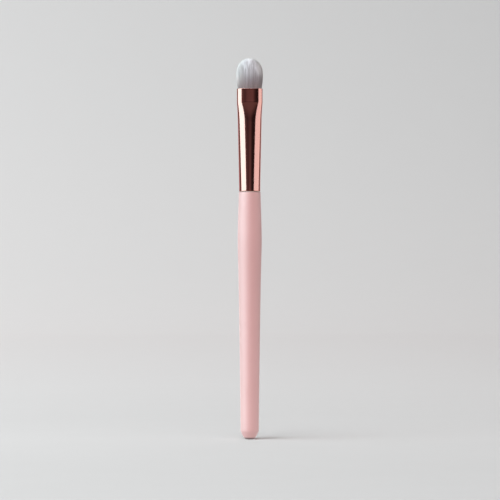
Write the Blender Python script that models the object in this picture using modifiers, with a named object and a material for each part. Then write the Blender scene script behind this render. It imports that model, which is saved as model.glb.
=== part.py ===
"""A lip brush: a domed tuft of filaments in a pressed metal ferrule, on a turned wooden handle.

The brush stands on its butt. The origin is the middle of the butt's flat, +Z runs up the handle to
the tuft, and the broad faces of the ferrule and of the tuft look along -Y and +Y. Sizes are in metres.
"""

import math

import bmesh
import bpy
import numpy
from mathutils import Vector
from mathutils.geometry import interpolate_bezier

MM = 0.001

# Lengths along the brush, from the butt up.
HANDLE_LENGTH = 94.0 * MM  # butt to shoulder, all the wood that shows
FERRULE_LENGTH = 39.0 * MM
TUFT_LENGTH = 11.7 * MM  # from the ferrule's mouth to the top of the dome

# Clearances. Neighbours that touch on the real brush lie this far apart.
SEAT_GAP = 0.1 * MM
SOFT_GAP = 0.3 * MM  # between the tie and the filaments that it holds

# Handle: a turned profile, with a shoulder, a belly and a long taper to the rounded butt.
SHOULDER_STEP = 0.1 * MM  # the wood stands this far out past the ferrule's base
SHOULDER_EDGE = 0.25 * MM
BELLY_DIAMETER = 9.2 * MM
BELLY_DROP = 18.4 * MM  # the thickest place, below the shoulder
UPPER_EASE = 1.3  # above 1, the curve above the belly flattens out towards it
TAIL_DIAMETER = 6.92 * MM  # where the butt's rounding begins
TAPER_HANDLES = ((1.0, 0.905), (0.67, 0.96))  # (share of the radius gained, share of the height)
BUTT_ROUNDING = 3.3 * MM
BUTT_SQUARENESS = 1.3  # superellipse exponent of its profile, where 2 is a plain ellipse
BUTT_FLAT_DIAMETER = 3.1 * MM

# Tenon: the end of the same wood, inside the ferrule, with turned grooves that key the glue.
TENON_CHAMFER = 0.6 * MM
GROOVE_WIDTH = 0.9 * MM
GROOVE_DEPTH = 0.25 * MM
GROOVE_FLANK = 0.08 * MM
GROOVE_PITCH = 4.0 * MM
FIRST_GROOVE = 3.0 * MM  # middle of the lowest groove, above the shoulder
GLUE_FILM = 0.15 * MM  # thinnest place of the glue round the tenon
GLUE_SHORTFALL = 2.0 * MM  # how far below the tenon's end the glue stops

# Ferrule: a round tube, flared and then pressed oval at its mouth.
FERRULE_DIAMETER = 8.0 * MM
FERRULE_WALL = 0.35 * MM
ROUND_LENGTH = 1.0 * MM  # stays truly round above the base
FLARE_WIDTH = 9.3 * MM  # what the flare alone would reach at the press line
FLARE_DEPTH = 6.6 * MM
FLARE_EASE = 1.1  # above 1, the flare starts gently
MOUTH_WIDTH = 9.76 * MM
MOUTH_DEPTH = 5.4 * MM
MOUTH_SQUARENESS = 2.5  # superellipse exponent, where 2 is a plain ellipse
PRESS_HEIGHT = 5.2 * MM  # the band below the mouth that the die closes on
PRESS_BLEND = 7.4 * MM  # from the flare alone up to that band
PRESS_EASE = 2.0  # above 1, the pressing starts gently

# Filament root: the bundle below the mouth, bonded solid and tied with thread.
ROOT_DEPTH = 14.0 * MM
SLICE_DEPTH = 0.3 * MM  # the bonded face that the free filaments rise from, below the mouth
WAIST_RISE = 2.6 * MM  # from the cut ends of the filaments up to the lowest turn of the tie
WAIST_EASE = 1.6 * MM  # height over which the bundle draws in to its waist
ROOT_SPLAY = 0.3 * MM  # how far the cut ends spread out again below the waist
THREAD_DIAMETER = 0.4 * MM
THREAD_TURNS = 3
THREAD_PITCH = 0.9 * MM

# Root glue: a cup of set resin that closes the ferrule behind the filaments.
PLUG_DEPTH = 3.4 * MM  # below the cut ends of the filaments
RIM_BELOW_TIE = 1.1 * MM  # its rim climbs round the ends and stops short of the tie
DISH_DEPTH = 0.8 * MM  # sag of its free face
DISH_REACH = 0.9  # share of the ferrule's half depth that sags
AIR_LENGTH = 4.6 * MM  # empty bore between this plug and the tenon

# Free filaments.
STRAND_PITCH = 0.305 * MM
STRAND_RADIUS = 0.148 * MM
STRAND_TAPER = 0.45  # share of its radius that a filament loses on the way to its point
STRAND_SIDES = 3
STRAND_TURN = math.radians(137.5)  # each is turned this much against the one before
STRAND_SINK = 0.3 * MM  # how far each starts inside the bonded root
STRAND_INSET = 0.06 * MM  # the outermost feet lie this far inside the root's edge
LEAST_POINT = 1.2 * MM  # shortest stretch over which a filament comes to its point
SWELL_HEIGHT = 5.0 * MM  # the widest place of the tuft, above the mouth
SWELL_WIDTH = 0.72 * MM  # how far the outermost filaments have spread there
SWELL_DEPTH = 0.3 * MM
TIP_WIDTH_SHARE = 1.04  # spread at the top of the dome, against the spread at the mouth
TIP_DEPTH_SHARE = 0.66
DOME_HEIGHT = 5.1 * MM  # how much higher the middle ends than the edge
DOME_SQUARENESS = 2.3

# Facets.
RING_SIDES = 36
CURVE_STEPS = 9
THREAD_POINTS_PER_TURN = 24
THREAD_BEVEL_RESOLUTION = 1
MERGE = 0.001 * MM

# Heights and lengths that follow.
SHOULDER_Z = HANDLE_LENGTH
TENON_LENGTH = FERRULE_LENGTH - ROOT_DEPTH - PLUG_DEPTH - AIR_LENGTH
TENON_TOP_Z = SHOULDER_Z + TENON_LENGTH
BASE_Z = SHOULDER_Z + SEAT_GAP
FLARE_Z = BASE_Z + ROUND_LENGTH
MOUTH_Z = BASE_Z + FERRULE_LENGTH
PRESS_Z = MOUTH_Z - PRESS_HEIGHT
BLEND_Z = PRESS_Z - PRESS_BLEND
ROOT_Z = MOUTH_Z - ROOT_DEPTH
SLICE_Z = MOUTH_Z - SLICE_DEPTH
TIE_Z = ROOT_Z + WAIST_RISE
TIE_TOP_Z = TIE_Z + THREAD_TURNS * THREAD_PITCH

# Insets from the ferrule's outside, each from the one before.
FILL_INSET = FERRULE_WALL + SEAT_GAP
THREAD_INSET = FILL_INSET + THREAD_DIAMETER / 2
WAIST_INSET = THREAD_INSET + THREAD_DIAMETER / 2 + SOFT_GAP


# Helpers
def clamped(t):
    return min(max(t, 0.0), 1.0)


def between(low, high, count):
    """count evenly spaced values, both ends included."""
    return [low + (high - low) * i / (count - 1) for i in range(count)]


def finish(name, colour, roughness, metallic=0.0):
    material = bpy.data.materials.new(name)
    material.use_nodes = True
    shader = material.node_tree.nodes["Principled BSDF"]
    shader.inputs["Base Color"].default_value = (*colour, 1.0)
    shader.inputs["Roughness"].default_value = roughness
    shader.inputs["Metallic"].default_value = metallic
    material.diffuse_color = (*colour, 1.0)
    return material


def add_piece(name, data, collection, material):
    piece = bpy.data.objects.new(name, data)
    collection.objects.link(piece)
    data.materials.append(material)
    return piece


def add_cutter(name, mesh, collection):
    cutter = bpy.data.objects.new(name, mesh)
    collection.objects.link(cutter)
    cutter.hide_render = True
    cutter.display_type = "WIRE"
    return cutter


def join(piece, other, operation):
    boolean = piece.modifiers.new(operation.title(), "BOOLEAN")
    boolean.operation = operation
    boolean.object = other


def turned(name, profile):
    """A wire of (radius, height) points, top to bottom, for a Screw modifier to turn."""
    mesh = bpy.data.meshes.new(name)
    points = [(radius, 0.0, z) for radius, z in profile]
    mesh.from_pydata(points, [(i, i + 1) for i in range(len(points) - 1)], [])
    return mesh


def add_screw(piece):
    screw = piece.modifiers.new("Turn", "SCREW")
    screw.axis = "Z"
    screw.steps = RING_SIDES
    screw.render_steps = RING_SIDES
    screw.use_merge_vertices = True
    screw.merge_threshold = MERGE
    screw.use_smooth_shade = True


def section(z, inset):
    """Half width, half depth and squareness of the ferrule at height z, drawn in by inset."""
    flare = clamped((z - FLARE_Z) / (PRESS_Z - FLARE_Z)) ** FLARE_EASE
    press = clamped((z - BLEND_Z) / (PRESS_Z - BLEND_Z)) ** PRESS_EASE
    width = FERRULE_DIAMETER + (FLARE_WIDTH - FERRULE_DIAMETER) * flare
    depth = FERRULE_DIAMETER + (FLARE_DEPTH - FERRULE_DIAMETER) * flare
    width += (MOUTH_WIDTH - FLARE_WIDTH) * press
    depth += (MOUTH_DEPTH - FLARE_DEPTH) * press
    squareness = 2 + (MOUTH_SQUARENESS - 2) * press
    return width / 2 - inset, depth / 2 - inset, squareness


def outline_point(z, inset, angle):
    """A point of that outline; the angle runs once round it."""
    half_width, half_depth, squareness = section(z, inset)
    c, s = math.cos(angle), math.sin(angle)
    x = half_width * math.copysign(abs(c) ** (2 / squareness), c)
    y = half_depth * math.copysign(abs(s) ** (2 / squareness), s)
    return Vector((x, y, z))


def loft(name, stations, capped):
    """A skin through the ferrule's outline at each (height, inset), the face pointing down first."""
    bm = bmesh.new()
    angles = [2 * math.pi * i / RING_SIDES for i in range(RING_SIDES)]
    rings = [[bm.verts.new(outline_point(z, inset, a)) for a in angles] for z, inset in stations]
    for low, high in zip(rings, rings[1:]):
        for i in range(RING_SIDES):
            j = (i + 1) % RING_SIDES
            bm.faces.new((low[i], low[j], high[j], high[i])).smooth = True
    for edge in bm.edges:
        edge.smooth = not edge.is_boundary
    if capped:
        bm.faces.new(reversed(rings[0]))
        bm.faces.new(rings[-1])
    mesh = bpy.data.meshes.new(name)
    bm.to_mesh(mesh)
    bm.free()
    return mesh


# Handle
def tenon_radius():
    """What the bore leaves for the wood, at the narrower end of the tenon."""
    bores = [min(section(z, FERRULE_WALL)[:2]) for z in (SHOULDER_Z, TENON_TOP_Z)]
    return min(bores) - SEAT_GAP - GLUE_FILM - SEAT_GAP


def groove_heights():
    """Middles of the grooves above the shoulder, as many as the glue covers."""
    room = TENON_LENGTH - GLUE_SHORTFALL - GROOVE_WIDTH / 2 - FIRST_GROOVE
    return [FIRST_GROOVE + i * GROOVE_PITCH for i in range(math.floor(room / GROOVE_PITCH) + 1)]


def tenon_profile(grow):
    """The tenon's end and wall, top to bottom, moved outwards by grow."""
    radius = tenon_radius() + grow
    top = TENON_TOP_Z + grow
    profile = [(0.0, top), (radius - TENON_CHAMFER, top), (radius, top - TENON_CHAMFER)]
    for height in reversed(groove_heights()):
        middle = SHOULDER_Z + height
        mouth = GROOVE_WIDTH / 2 - grow
        floor = mouth - GROOVE_FLANK
        profile += [(radius, middle + mouth), (radius - GROOVE_DEPTH, middle + floor)]
        profile += [(radius - GROOVE_DEPTH, middle - floor), (radius, middle - mouth)]
    return profile


def shoulder_profile():
    """Out across the shoulder, round its edge and down the upper curve to the belly."""
    belly = BELLY_DIAMETER / 2
    gain = belly - FERRULE_DIAMETER / 2 - SHOULDER_STEP
    profile = [(tenon_radius(), SHOULDER_Z)]
    edge = belly - gain * (1 - SHOULDER_EDGE / BELLY_DROP) ** UPPER_EASE - SHOULDER_EDGE
    for turn in between(0.0, math.pi / 2, 4)[:-1]:
        rise = SHOULDER_EDGE * (math.cos(turn) - 1)
        profile.append((edge + SHOULDER_EDGE * math.sin(turn), SHOULDER_Z + rise))
    for drop in between(SHOULDER_EDGE, BELLY_DROP, CURVE_STEPS):
        profile.append((belly - gain * (1 - drop / BELLY_DROP) ** UPPER_EASE, SHOULDER_Z - drop))
    return profile


def taper_profile():
    """From below the belly down to the tail, on one Bezier curve."""
    tail = Vector((TAIL_DIAMETER / 2, BUTT_ROUNDING))
    belly = Vector((BELLY_DIAMETER / 2, SHOULDER_Z - BELLY_DROP))
    handles = [tail + (belly - tail) * Vector(shares) for shares in TAPER_HANDLES]
    return [tuple(point) for point in interpolate_bezier(belly, *handles, tail, CURVE_STEPS + 3)[1:]]


def butt_profile():
    """The rounded end, a quarter of a superellipse, and the flat that the brush stands on."""
    flat, tail = BUTT_FLAT_DIAMETER / 2, TAIL_DIAMETER / 2
    power = 2 / BUTT_SQUARENESS
    profile = []
    for turn in between(0.0, math.pi / 2, 8)[1:-1]:
        r = flat + (tail - flat) * math.cos(turn) ** power
        profile.append((r, BUTT_ROUNDING * (1 - math.sin(turn) ** power)))
    return profile + [(flat, 0.0), (0.0, 0.0)]


def make_handle(parts):
    profile = tenon_profile(0.0) + shoulder_profile() + taper_profile() + butt_profile()
    paint = finish("handle_paint", (0.80, 0.50, 0.48), 0.55)
    handle = add_piece("handle", turned("handle", profile), parts, paint)
    add_screw(handle)


def make_tenon_glue(parts, cutters):
    """The film of glue between tenon and ferrule, ribbed where it fills the grooves."""
    low = BASE_Z + SEAT_GAP
    stations = [(z, FILL_INSET) for z in between(low, TENON_TOP_Z - GLUE_SHORTFALL, 4)]
    resin = finish("tenon_resin", (0.72, 0.60, 0.38), 0.35)
    sleeve = add_piece("tenon_glue", loft("tenon_glue", stations, capped=True), parts, resin)
    below = low - SEAT_GAP
    profile = tenon_profile(SEAT_GAP) + [(tenon_radius() + SEAT_GAP, below), (0.0, below)]
    tenon_space = add_cutter("tenon_space", turned("tenon_space", profile), cutters)
    add_screw(tenon_space)
    join(sleeve, tenon_space, "DIFFERENCE")


# Ferrule
def make_ferrule(parts):
    heights = [BASE_Z] + between(FLARE_Z, BLEND_Z, 6)
    heights += between(BLEND_Z, PRESS_Z, 6)[1:] + between(PRESS_Z, MOUTH_Z, 3)[1:]
    plating = finish("rose_plating", (0.86, 0.52, 0.44), 0.12, 1.0)
    tube = loft("ferrule", [(z, 0.0) for z in heights], capped=False)
    ferrule = add_piece("ferrule", tube, parts, plating)
    wall = ferrule.modifiers.new("Wall", "SOLIDIFY")
    wall.thickness = FERRULE_WALL
    wall.offset = -1.0
    wall.use_even_offset = True


# Filament root, its tie and its glue
def root_stations(grow):
    """The bundle from its cut ends up, moved outwards by grow: splayed, tied in, then filling the bore."""
    waist_low = TIE_Z - THREAD_DIAMETER
    waist_high = TIE_TOP_Z + THREAD_DIAMETER
    stations = [(ROOT_Z - grow, WAIST_INSET - ROOT_SPLAY)]
    stations += [(z, WAIST_INSET) for z in between(waist_low, waist_high, 4)]
    stations += [(z, FILL_INSET) for z in between(waist_high + WAIST_EASE, SLICE_Z, 4)]
    return [(z, inset - grow) for z, inset in stations]


def make_root_glue(parts, cutters):
    """A cup of resin round the cut ends, with a sagging free face behind."""
    back = ROOT_Z - PLUG_DEPTH
    rim = TIE_Z - THREAD_DIAMETER / 2 - RIM_BELOW_TIE
    reach = DISH_REACH * section(back, FILL_INSET)[1]
    stations = []
    for share in between(0.0, 1.0, 5):
        stations.append((back + DISH_DEPTH * (1 - share**2), FILL_INSET + reach * (1 - share)))
    stations += [(z, FILL_INSET) for z in between(back, rim, 3)[1:]]
    resin = finish("root_resin", (0.76, 0.66, 0.46), 0.3)
    plug = add_piece("root_glue", loft("root_glue", stations, capped=True), parts, resin)
    space = loft("root_space", root_stations(SEAT_GAP), capped=True)
    join(plug, add_cutter("root_space", space, cutters), "DIFFERENCE")


def thread_path():
    path = []
    for i in range(THREAD_TURNS * THREAD_POINTS_PER_TURN + 1):
        turn = i / THREAD_POINTS_PER_TURN
        path.append(outline_point(TIE_Z + THREAD_PITCH * turn, THREAD_INSET, 2 * math.pi * turn))
    return path


def make_thread(parts):
    """The tie, one unbroken thread wound round the waist."""
    path = thread_path()
    curve = bpy.data.curves.new("binding_thread", "CURVE")
    curve.dimensions = "3D"
    curve.bevel_depth = THREAD_DIAMETER / 2
    curve.bevel_resolution = THREAD_BEVEL_RESOLUTION
    curve.use_fill_caps = True
    spline = curve.splines.new("POLY")
    spline.points.add(len(path) - 1)
    for point, place in zip(spline.points, path):
        point.co = (*place, 1.0)
    add_piece("binding_thread", curve, parts, finish("cotton", (0.85, 0.82, 0.74), 0.9))
    half_turn = THREAD_POINTS_PER_TURN // 2
    nearest = min((a - b).length for i, a in enumerate(path) for b in path[i + half_turn:])
    print(f"binding_thread: least gap between turns {(nearest - THREAD_DIAMETER) / MM:.2f} mm")


# Free filaments
def strand_outline():
    return section(MOUTH_Z, FILL_INSET + STRAND_INSET + STRAND_RADIUS)


def strand_feet():
    """Rows across the flat tuft, each row spread between the two edges of the outline."""
    half_width, half_depth, squareness = strand_outline()
    rows = math.floor(2 * half_depth / STRAND_PITCH)
    for row in range(rows):
        y = half_depth * ((2 * row + 1) / rows - 1)
        reach = half_width * (1 - abs(y / half_depth) ** squareness) ** (1 / squareness)
        for x in between(-reach, reach, math.floor(2 * reach / STRAND_PITCH) + 1):
            yield x, y


def tip_height(x, y):
    """Where the filament rooted at (x, y) ends: high in the middle of the dome, low round its edge."""
    half_width, half_depth, squareness = strand_outline()
    off_centre = (abs(x / half_width) ** squareness + abs(y / half_depth) ** squareness) ** (1 / squareness)
    rise = max(1 - off_centre**DOME_SQUARENESS, 0.0) ** (1 / DOME_SQUARENESS)
    return TUFT_LENGTH - DOME_HEIGHT * (1 - rise)


def bend_heights():
    """Heights above the mouth where filaments bend, the same for all, so that none cross."""
    foot = -SLICE_DEPTH - STRAND_SINK
    return [foot, SWELL_HEIGHT / 2, SWELL_HEIGHT, (SWELL_HEIGHT + TUFT_LENGTH) / 2, TUFT_LENGTH]


def spread(half_size, swell, tip_share):
    """At each bend, how far filaments stand out, as a share of their place in the mouth."""
    widest = 1 + swell / half_size
    shares = []
    for height in bend_heights():
        if height < SWELL_HEIGHT:
            shares.append(1 + (widest - 1) * math.sin(math.pi / 2 * max(height, 0.0) / SWELL_HEIGHT))
        else:
            past = (height - SWELL_HEIGHT) / (TUFT_LENGTH - SWELL_HEIGHT)
            shares.append(widest + (tip_share - widest) * past**2)
    return shares


def add_strand(bm, stops, turn):
    """One closed filament through (centre, radius) stops, the last of them its point."""
    rings = []
    for centre, radius in stops[:-1]:
        angles = [turn + 2 * math.pi * i / STRAND_SIDES for i in range(STRAND_SIDES)]
        offsets = [Vector((radius * math.cos(a), radius * math.sin(a), 0.0)) for a in angles]
        rings.append([bm.verts.new(centre + offset) for offset in offsets])
    point = bm.verts.new(stops[-1][0])
    bm.faces.new(reversed(rings[0]))
    for i in range(STRAND_SIDES):
        j = (i + 1) % STRAND_SIDES
        for low, high in zip(rings, rings[1:]):
            bm.faces.new((low[i], low[j], high[j], high[i]))
        bm.faces.new((rings[-1][i], rings[-1][j], point))


def make_strands(cutters):
    half_width, half_depth, _ = strand_outline()
    bends = bend_heights()
    widths = spread(half_width, SWELL_WIDTH, TIP_WIDTH_SHARE)
    depths = spread(half_depth, SWELL_DEPTH, TIP_DEPTH_SHARE)
    bm = bmesh.new()
    for number, (x, y) in enumerate(strand_feet()):
        tip = tip_height(x, y)
        stops = []
        for height in [bend for bend in bends if bend < tip - LEAST_POINT] + [tip]:
            wide = numpy.interp(height, bends, widths)
            deep = numpy.interp(height, bends, depths)
            radius = STRAND_RADIUS * (1 - STRAND_TAPER * max(height, 0.0) / tip)
            stops.append((Vector((x * wide, y * deep, MOUTH_Z + height)), radius))
        add_strand(bm, stops, number * STRAND_TURN)
    mesh = bpy.data.meshes.new("strands")
    bm.to_mesh(mesh)
    bm.free()
    print(f"bristle_tuft: {number + 1} filaments")
    return add_cutter("strands", mesh, cutters)


def make_tuft(parts, cutters):
    """The bonded root and the free filaments, as one piece."""
    filament = finish("filament", (0.72, 0.69, 0.69), 0.6)
    tuft = add_piece("bristle_tuft", loft("bristle_tuft", root_stations(0.0), capped=True), parts, filament)
    join(tuft, make_strands(cutters), "UNION")


def main():
    for old in list(bpy.data.objects):
        bpy.data.objects.remove(old)
    parts = bpy.data.collections.new("lip_brush")
    cutters = bpy.data.collections.new("cutters")
    for collection in (parts, cutters):
        bpy.context.scene.collection.children.link(collection)
    make_handle(parts)
    make_tenon_glue(parts, cutters)
    make_ferrule(parts)
    make_root_glue(parts, cutters)
    make_thread(parts)
    make_tuft(parts, cutters)


main()
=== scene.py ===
# %% [markdown]
# # A lip brush, dressed for its portrait
#
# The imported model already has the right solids: a turned handle, a pressed ferrule and a coarse tuft.
# This lesson puts the real surfaces on them. The lacquer, the rose-gold tube and a few thousand fine
# filaments are made here in code, and every one of them sits exactly where its solid sits.
#
# The origin is the middle of the flat under the butt. +Z runs up the brush, and the broad face of the
# tuft looks along -Y, towards the camera.

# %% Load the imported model
import math

import bmesh
import bpy
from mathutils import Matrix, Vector
from mathutils.geometry import interpolate_bezier


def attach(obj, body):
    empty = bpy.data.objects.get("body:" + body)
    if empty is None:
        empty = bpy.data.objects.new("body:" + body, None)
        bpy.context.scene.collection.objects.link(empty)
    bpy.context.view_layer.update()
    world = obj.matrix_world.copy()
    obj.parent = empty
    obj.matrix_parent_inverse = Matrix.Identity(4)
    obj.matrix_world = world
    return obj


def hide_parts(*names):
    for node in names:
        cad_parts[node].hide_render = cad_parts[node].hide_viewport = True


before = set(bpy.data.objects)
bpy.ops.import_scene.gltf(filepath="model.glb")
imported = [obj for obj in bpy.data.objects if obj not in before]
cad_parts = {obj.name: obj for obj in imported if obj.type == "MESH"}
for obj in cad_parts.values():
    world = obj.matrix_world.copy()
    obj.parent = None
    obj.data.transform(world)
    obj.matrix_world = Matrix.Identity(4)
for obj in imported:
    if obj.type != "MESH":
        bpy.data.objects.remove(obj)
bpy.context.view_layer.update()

MM = 0.001


def in_mm(box):
    return [[round(value / MM, 2) for value in corner] for corner in box]


# %% [markdown]
# ## The camera
#
# The photographer used a long lens at the height of the brush's middle: the flat under the butt and
# the mouth of the ferrule both look almost straight. The scale is known from the ferrule, so the
# camera can be placed with plain numbers: one pixel is 0.38 mm at the brush, and the butt stands on
# pixel row 439 of 500.

# %% Place the camera
FRAME_PIXELS = 500
PIXEL = 0.38 * MM
AXIS_COLUMN = 249.7
BUTT_ROW = 439.0
CAMERA_DISTANCE = 1.0

camera = bpy.data.objects.new("camera", bpy.data.cameras.new("camera"))
camera.data.lens = camera.data.sensor_width * CAMERA_DISTANCE / (FRAME_PIXELS * PIXEL)
camera.location.x = (FRAME_PIXELS / 2 - AXIS_COLUMN) * PIXEL
camera.location.y = -CAMERA_DISTANCE
camera.location.z = (BUTT_ROW - FRAME_PIXELS / 2) * PIXEL
camera.rotation_euler.x = math.pi / 2
bpy.context.collection.objects.link(camera)
bpy.context.scene.camera = camera
print(f"camera: {camera.data.lens:.1f} mm lens, {camera.location.z / MM:.1f} mm above the floor")

# %% [markdown]
# ## Two small tools for node trees
#
# Materials and Geometry Nodes are both built from nodes and links. `Tree.node` adds one node: its
# settings go first, because they decide which sockets it has, and then its sockets are filled or
# linked. A `Wire` is an output that can be used in a sum, so a formula reads like Python.

# %% Trees and wires
class Tree:
    """A node tree that is being filled."""

    def __init__(self, tree):
        self.tree = tree
        tree.nodes.clear()

    def node(self, kind, settings=None, sockets=None):
        node = self.tree.nodes.new(kind)
        for name, value in (settings or {}).items():
            if name == "stops":
                fill_ramp(node.color_ramp, value)
            else:
                setattr(node, name, value)
        for key, value in (sockets or {}).items():
            socket = find_socket(node.inputs, key)
            if isinstance(value, Wire):
                self.tree.links.new(value.socket, socket)
            else:
                socket.default_value = value
        return Wire(self, next((socket for socket in node.outputs if socket.enabled), None))


class Wire:
    """An output socket. Arithmetic on it adds Math nodes to its tree."""

    def __init__(self, tree, socket):
        self.tree = tree
        self.socket = socket

    def output(self, key):
        return Wire(self.tree, find_socket(self.socket.node.outputs, key))

    def math(self, operation, *values):
        return self.tree.node("ShaderNodeMath", {"operation": operation}, dict(enumerate(values)))

    def __add__(self, other):
        return self.math("ADD", self, other)

    def __radd__(self, other):
        return self.math("ADD", other, self)

    def __sub__(self, other):
        return self.math("SUBTRACT", self, other)

    def __rsub__(self, other):
        return self.math("SUBTRACT", other, self)

    def __mul__(self, other):
        return self.math("MULTIPLY", self, other)

    def __rmul__(self, other):
        return self.math("MULTIPLY", other, self)

    def __truediv__(self, other):
        return self.math("DIVIDE", self, other)

    def __rtruediv__(self, other):
        return self.math("DIVIDE", other, self)

    def __pow__(self, other):
        return self.math("POWER", self, other)

    def __neg__(self):
        return self.math("MULTIPLY", self, -1.0)


def find_socket(sockets, key):
    """By place, identifier or name; a hidden socket of the same name is passed over."""
    if isinstance(key, int):
        return sockets[key]
    return next(socket for socket in sockets if socket.enabled and key in (socket.identifier, socket.name))


def fill_ramp(ramp, stops):
    for _ in stops[2:]:
        ramp.elements.new(0.5)
    for element, (place, colour) in zip(ramp.elements, stops):
        element.position = place
        element.color = (*colour, 1.0)


# %% [markdown]
# Some formulas are needed twice: in Python, for a mesh made point by point, and as nodes, for a
# Geometry Nodes tree. These helpers take either a number or a wire, so each formula is written once.

# %% Maths on a number or a wire
def clamped(value):
    if isinstance(value, Wire):
        return value.tree.node("ShaderNodeClamp", sockets={"Value": value})
    return min(max(value, 0.0), 1.0)


def smooth_step(value):
    share = clamped(value)
    return share * share * (3 - 2 * share)


def eased(value, start, length):
    """Rises smoothly from 0 to 1 over a length that begins at start."""
    return smooth_step((value - start) / length)


def size_of(value):
    return value.math("ABSOLUTE", value) if isinstance(value, Wire) else abs(value)


def sign_of(value):
    return value.math("SIGN", value) if isinstance(value, Wire) else math.copysign(1.0, value)


def sine(angle):
    return angle.math("SINE", angle) if isinstance(angle, Wire) else math.sin(angle)


def cosine(angle):
    return angle.math("COSINE", angle) if isinstance(angle, Wire) else math.cos(angle)


def between(low, high, count):
    """count evenly spaced values, both ends included."""
    return [low + (high - low) * i / (count - 1) for i in range(count)]


# %% [markdown]
# ## Finishes
#
# A finish is one Principled shader with nodes in front of it. The numbers that are the same all over
# go straight on the shader. Only what changes over the surface is linked.

# %% Start a material
def new_finish(name):
    material = bpy.data.materials.new(name)
    material.use_nodes = True
    return material, Tree(material.node_tree)


def close_finish(material, tree, shader):
    tree.node("ShaderNodeOutputMaterial", sockets={"Surface": shader})
    print(f"{material.name}: {len(tree.tree.nodes)} nodes")


def place(tree):
    """The object's own coordinates, in metres."""
    return tree.node("ShaderNodeTexCoord").output("Object")


def part_of(tree, vector, axis):
    return tree.node("ShaderNodeSeparateXYZ", sockets={"Vector": vector}).output(axis)


def stretched(tree, vector, scale):
    """The coordinates scaled by a different amount along each axis."""
    return tree.node("ShaderNodeMapping", sockets={"Vector": vector, "Scale": scale})


def noise(tree, vector, scale, detail=2.0, roughness=0.5):
    sockets = {"Vector": vector, "Scale": scale, "Detail": detail, "Roughness": roughness}
    return tree.node("ShaderNodeTexNoise", sockets=sockets)


def blend(tree, factor, first, second):
    """Mixes two colours; each is three numbers or a wire."""
    first, second = [c if isinstance(c, Wire) else (*c, 1.0) for c in (first, second)]
    sockets = {"Factor_Float": factor, "A_Color": first, "B_Color": second}
    return tree.node("ShaderNodeMix", {"data_type": "RGBA"}, sockets)


def bump(tree, height, distance):
    """A wavy normal; distance is how high the waves stand where height is 1."""
    return tree.node("ShaderNodeBump", sockets={"Height": height, "Distance": distance})


# %% [markdown]
# ## The handle
#
# A brush handle is turned from one piece of wood: a small shoulder under the ferrule, a belly where
# the fingers hold it, and a long taper to a rounded butt. The end inside the ferrule, the tenon, is
# the same wood with grooves that key the glue. It is dipped in a soft-touch lacquer, which is matte,
# slightly wavy like the skin of an orange, and paler towards its edges.
#
# The shape could be a Screw modifier on a wire. Here the rings are made directly, because the mesh
# then has clean poles and stays a plain mesh. The sizes are those of the solid that it replaces.

# %% Handle sizes
SHOULDER_Z = 94.0 * MM
SHOULDER_STEP = 0.1 * MM
SHOULDER_EDGE = 0.25 * MM
FERRULE_RADIUS = 4.0 * MM
BELLY_RADIUS = 4.6 * MM
BELLY_DROP = 18.4 * MM
UPPER_EASE = 1.3
TAIL_RADIUS = 3.46 * MM
TAPER_HANDLES = ((1.0, 0.905), (0.67, 0.96))
BUTT_ROUNDING = 3.3 * MM
BUTT_SQUARENESS = 1.3
BUTT_FLAT_RADIUS = 1.55 * MM
TENON_TOP_Z = 111.0 * MM
TENON_RADIUS = 3.3 * MM
TENON_CHAMFER = 0.6 * MM
GROOVE_WIDTH = 0.9 * MM
GROOVE_DEPTH = 0.25 * MM
GROOVE_FLANK = 0.08 * MM
GROOVE_HEIGHTS = [97.0 * MM, 101.0 * MM, 105.0 * MM]
HANDLE_SIDES = 144
print(f"handle: {SHOULDER_Z / MM:.1f} mm to the shoulder, {TENON_TOP_Z / MM:.1f} mm with its tenon")


# %% [markdown]
# The profile is read from the flat of the butt upwards, as (radius, height) points. The butt is a
# quarter of a flattened ellipse, the taper one Bezier curve, and the part above the belly a power
# curve that flattens out towards the belly.

# %% Handle profile
def butt_points():
    points = [(0.0, 0.0), (BUTT_FLAT_RADIUS, 0.0)]
    power = 2 / BUTT_SQUARENESS
    for turn in between(math.pi / 2, 0.0, 24)[1:]:
        radius = BUTT_FLAT_RADIUS + (TAIL_RADIUS - BUTT_FLAT_RADIUS) * math.cos(turn) ** power
        points.append((radius, BUTT_ROUNDING * (1 - math.sin(turn) ** power)))
    return points


def taper_points():
    tail = Vector((TAIL_RADIUS, BUTT_ROUNDING))
    belly = Vector((BELLY_RADIUS, SHOULDER_Z - BELLY_DROP))
    handles = [tail + (belly - tail) * Vector(shares) for shares in TAPER_HANDLES]
    return [tuple(point) for point in reversed(interpolate_bezier(belly, *handles, tail, 90)[:-1])]


def shoulder_points():
    gain = BELLY_RADIUS - FERRULE_RADIUS - SHOULDER_STEP
    points = []
    for drop in between(BELLY_DROP, SHOULDER_EDGE, 40)[1:]:
        points.append((BELLY_RADIUS - gain * (1 - drop / BELLY_DROP) ** UPPER_EASE, SHOULDER_Z - drop))
    edge = points[-1][0] - SHOULDER_EDGE
    for turn in between(math.pi / 2, 0.0, 10)[1:]:
        rise = SHOULDER_EDGE * (math.cos(turn) - 1)
        points.append((edge + SHOULDER_EDGE * math.sin(turn), SHOULDER_Z + rise))
    return points


def tenon_points():
    points = [(TENON_RADIUS, SHOULDER_Z)]
    for middle in GROOVE_HEIGHTS:
        mouth = GROOVE_WIDTH / 2
        floor = mouth - GROOVE_FLANK
        points += [(TENON_RADIUS, middle - mouth), (TENON_RADIUS - GROOVE_DEPTH, middle - floor)]
        points += [(TENON_RADIUS - GROOVE_DEPTH, middle + floor), (TENON_RADIUS, middle + mouth)]
    points += [(TENON_RADIUS, TENON_TOP_Z - TENON_CHAMFER), (TENON_RADIUS - TENON_CHAMFER, TENON_TOP_Z)]
    return points + [(0.0, TENON_TOP_Z)]


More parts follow.
